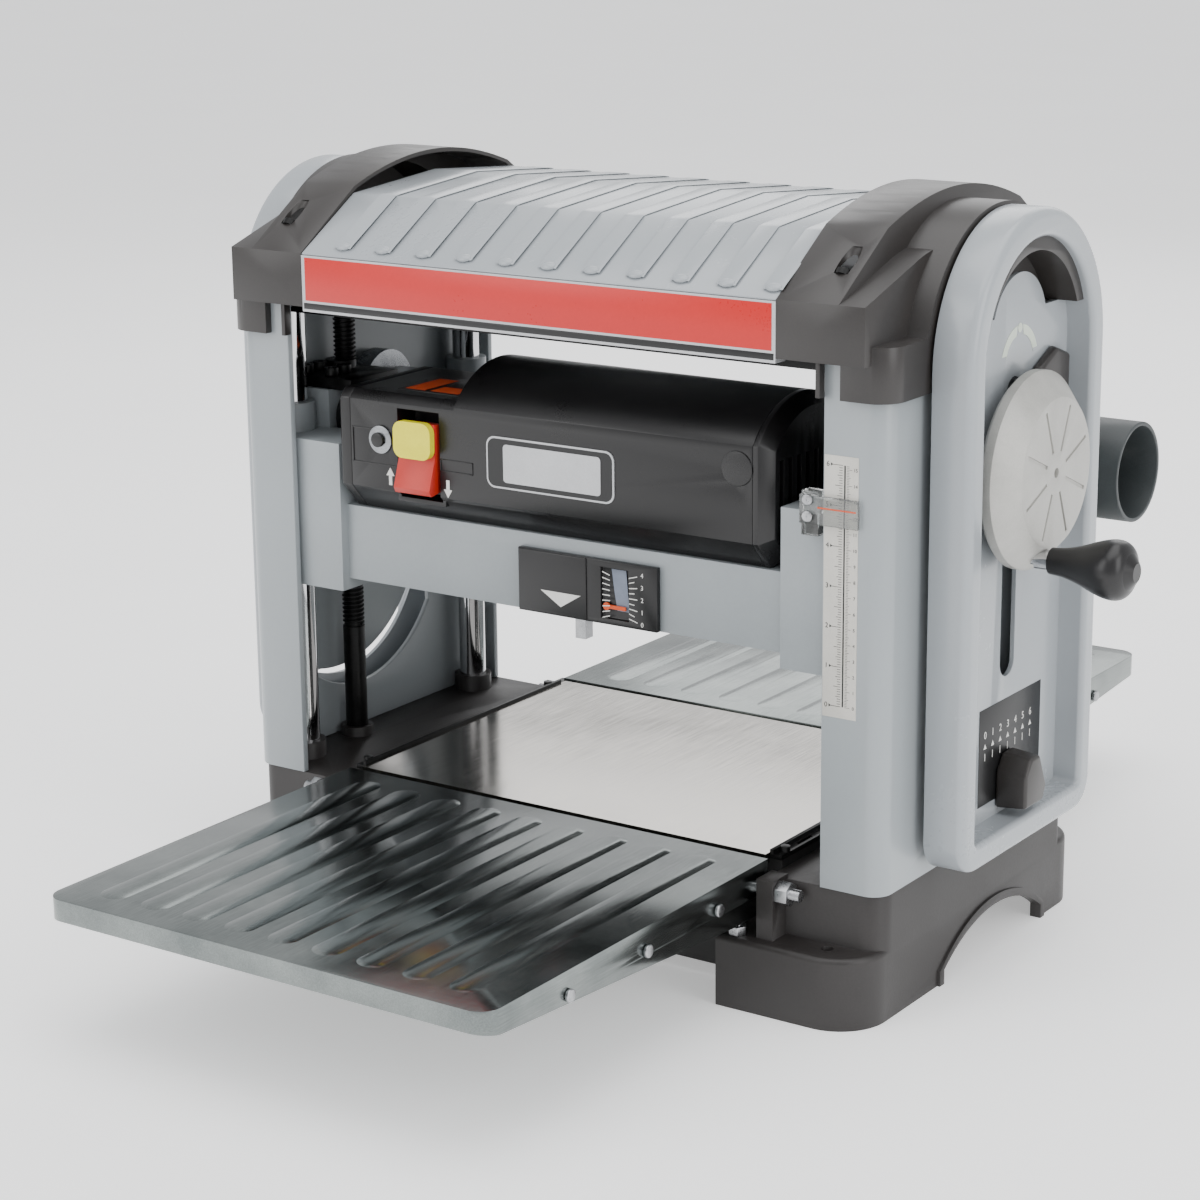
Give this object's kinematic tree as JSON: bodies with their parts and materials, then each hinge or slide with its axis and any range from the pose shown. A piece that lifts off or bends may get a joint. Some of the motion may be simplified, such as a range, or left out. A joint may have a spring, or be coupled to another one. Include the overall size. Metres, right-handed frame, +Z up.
{
  "type": "thickness planer",
  "caption": "Bench thickness planer: a carriage with motor, cutterhead and feed rollers rises on four columns over a fixed bed with folding wings, moved by a side handwheel.",
  "frame": {"origin": "on the bench plane, at the centre of the four bench holes", "axes": "+X towards the handwheel, +Y the way a board is fed, +Z up"},
  "size_m": [0.654, 0.862, 0.513],
  "materials": {
    "cast_charcoal": "fine textured charcoal paint on castings",
    "plastic_charcoal": "charcoal moulded plastic with a fine grain",
    "paint_grey": "smooth light blue-grey paint",
    "alloy_grey": "light blue-grey paint over die-cast aluminium",
    "plastic_grey": "light blue-grey moulded plastic",
    "plastic_black": "black glass-filled plastic, satin",
    "stainless": "ground and polished stainless sheet",
    "zinc_sheet": "polished steel sheet with embossed ribs",
    "cast_table": "rough sand-cast, dark",
    "black_steel": "black oxide steel",
    "hard_chrome": "ground hard chrome",
    "zinc_hardware": "zinc plated",
    "silver_cast": "silver paint over an iron casting",
    "bare_alloy": "machined alloy",
    "tool_steel": "ground tool steel",
    "copper_core": "laminated core with windings",
    "rubber_black": "moulded rubber",
    "roller_rubber": "ground rubber cover on a steel core",
    "brass_nut": "turned bronze",
    "banner_red": "red printed plate with a light border",
    "paddle_red": "red moulded plastic",
    "key_yellow": "yellow moulded plastic",
    "clear_arm": "clear acrylic",
    "port_grey": "dark grey moulded plastic",
    "pointer_orange": "orange moulded plastic"
  },
  "bodies": {
    "frame": {"base_left": "cast_charcoal", "base_right": "cast_charcoal", "bed_casting": "cast_table", "bed_plate": "stainless", "bed_side_rails": "black_steel", "guide_columns": "hard_chrome", "lead_screws": "black_steel", "side_frame_left": "paint_grey", "side_frame_right": "paint_grey", "outer_panel_left": "plastic_grey", "outer_panel_right": "plastic_grey", "corner_cover_left": "plastic_charcoal", "corner_cover_right": "plastic_charcoal", "cover_screws": "black_steel", "top_tie": "black_steel", "top_cover": "plastic_grey", "banner_plates": "banner_red", "wing_bolts": "zinc_hardware"},
    "carriage": {"carriage_casting": "alloy_grey", "nut_flanges": "black_steel", "carriage_screws": "black_steel", "motor_housing": "plastic_black", "motor_end_cap": "plastic_black", "motor_grille": "plastic_black", "motor_stator": "copper_core", "brush_caps": "plastic_black", "cord_gland": "rubber_black", "gauge_box": "plastic_black", "scale_pointer": "clear_arm", "chip_hood": "port_grey", "dust_port": "port_grey", "drive_cover": "plastic_black", "drive_belt": "rubber_black", "feed_gearbox": "bare_alloy", "feed_chain": "tool_steel", "cutterhead_bearings": "zinc_hardware", "roller_springs": "zinc_hardware"},
    "cutterhead": {"cutterhead": "tool_steel", "cutter_inserts": "tool_steel"},
    "armature": {"armature": "copper_core", "motor_fan": "plastic_black"},
    "infeed_blocks": {"infeed_blocks": "bare_alloy"},
    "infeed_roller": {"infeed_roller": "roller_rubber"},
    "outfeed_blocks": {"outfeed_blocks": "bare_alloy"},
    "outfeed_roller": {"outfeed_roller": "roller_rubber"},
    "lift_drive": {"lift_shaft": "tool_steel", "handwheel": "silver_cast", "handwheel_stud": "hard_chrome"},
    "crank_knob": {"handwheel_knob": "plastic_black"},
    "lead_nut_left": {"lead_nut_left": "brass_nut"},
    "lead_nut_right": {"lead_nut_right": "brass_nut"},
    "paddle": {"switch_paddle": "paddle_red"},
    "key": {"safety_key": "key_yellow"},
    "reset": {"reset_button": "plastic_black"},
    "infeed_wing": {"infeed_wing": "zinc_sheet"},
    "outfeed_wing": {"outfeed_wing": "zinc_sheet"},
    "depth_stop": {"depth_stop_knob": "plastic_black"},
    "lock_lever": {"lock_lever": "plastic_black"},
    "gauge_foot": {"gauge_foot": "zinc_hardware"},
    "gauge_pointer": {"gauge_pointer": "pointer_orange"}
  },
  "joints": [
    {"name": "handwheel_turn", "type": "hinge", "parent": "carriage", "child": "lift_drive", "pos_m": [0.29, 0, 0.3375], "axis": [1, 0, 0], "range_deg": [-27060, 6570]},
    {"name": "carriage_lift", "type": "slide", "parent": "frame", "child": "carriage", "axis": [0, 0, 1], "range_m": [-0.1196, 0.0292]},
    {"name": "lead_nut_left_turn", "type": "hinge", "parent": "carriage", "child": "lead_nut_left", "pos_m": [-0.238, -0.04, 0.3375], "axis": [0, 0, 1], "continuous": true},
    {"name": "lead_nut_right_turn", "type": "hinge", "parent": "carriage", "child": "lead_nut_right", "pos_m": [0.238, -0.04, 0.3375], "axis": [0, 0, 1], "continuous": true},
    {"name": "crank_knob_spin", "type": "hinge", "parent": "lift_drive", "child": "crank_knob", "pos_m": [0.33, -0.01144, 0.2837], "axis": [1, 0, 0], "continuous": true},
    {"name": "cutterhead_spin", "type": "hinge", "parent": "carriage", "child": "cutterhead", "pos_m": [0, 0, 0.245], "axis": [1, 0, 0], "continuous": true},
    {"name": "armature_spin", "type": "hinge", "parent": "carriage", "child": "armature", "pos_m": [0, -0.062, 0.331], "axis": [1, 0, 0], "continuous": true},
    {"name": "infeed_float", "type": "slide", "parent": "carriage", "child": "infeed_blocks", "axis": [0, 0, 1], "range_m": [0, 0.002], "stiffness_N_per_m": 12000, "springref_m": -0.003, "deforming": ["roller_springs"]},
    {"name": "infeed_roller_spin", "type": "hinge", "parent": "infeed_blocks", "child": "infeed_roller", "pos_m": [0, -0.072, 0.233], "axis": [1, 0, 0], "continuous": true},
    {"name": "outfeed_float", "type": "slide", "parent": "carriage", "child": "outfeed_blocks", "axis": [0, 0, 1], "range_m": [0, 0.002], "stiffness_N_per_m": 12000, "springref_m": -0.003, "deforming": ["feed_chain"]},
    {"name": "outfeed_roller_spin", "type": "hinge", "parent": "outfeed_blocks", "child": "outfeed_roller", "pos_m": [0, 0.072, 0.233], "axis": [1, 0, 0], "continuous": true},
    {"name": "paddle_tilt", "type": "hinge", "parent": "carriage", "child": "paddle", "pos_m": [-0.102, -0.12, 0.326], "axis": [1, 0, 0], "range_deg": [-10, 0]},
    {"name": "key_pull", "type": "slide", "parent": "paddle", "child": "key", "axis": [0, -1, 0], "range_m": [0, 0.02]},
    {"name": "reset_push", "type": "slide", "parent": "carriage", "child": "reset", "axis": [0, 1, 0], "range_m": [0, 0.003], "stiffness_N_per_m": 400, "springref_m": -0.002},
    {"name": "infeed_wing_fold", "type": "hinge", "parent": "frame", "child": "infeed_wing", "pos_m": [0, -0.141, 0.079], "axis": [1, 0, 0], "range_deg": [-75, 0]},
    {"name": "outfeed_wing_fold", "type": "hinge", "parent": "frame", "child": "outfeed_wing", "pos_m": [0, 0.141, 0.079], "axis": [1, 0, 0], "range_deg": [0, 60]},
    {"name": "depth_stop_slide", "type": "slide", "parent": "frame", "child": "depth_stop", "axis": [0, 1, 0], "range_m": [-0.018, 0.018]},
    {"name": "lock_lever_turn", "type": "hinge", "parent": "frame", "child": "lock_lever", "pos_m": [0.271, 0.044, 0.391], "axis": [1, 0, 0], "range_deg": [-35, 0]},
    {"name": "gauge_foot_lift", "type": "slide", "parent": "carriage", "child": "gauge_foot", "axis": [0, 0, 1], "range_m": [0, 0.0026], "stiffness_N_per_m": 150, "springref_m": -0.002},
    {"name": "gauge_pointer_turn", "type": "hinge", "parent": "carriage", "child": "gauge_pointer", "pos_m": [0.042, -0.12, 0.241], "axis": [0, -1, 0], "range_deg": [-1, 40]}
  ],
  "couplings": [
    {"joint": "carriage_lift", "follows": "handwheel_turn", "m_per_rad": 0.00025266},
    {"joint": "lead_nut_left_turn", "follows": "handwheel_turn", "ratio": 0.5},
    {"joint": "lead_nut_right_turn", "follows": "handwheel_turn", "ratio": 0.5},
    {"joint": "armature_spin", "follows": "cutterhead_spin", "ratio": 1.6667},
    {"joint": "infeed_roller_spin", "follows": "cutterhead_spin", "ratio": -0.01},
    {"joint": "outfeed_roller_spin", "follows": "cutterhead_spin", "ratio": -0.01},
    {"joint": "gauge_pointer_turn", "follows": "gauge_foot_lift", "rad_per_m": 240}
  ]
}
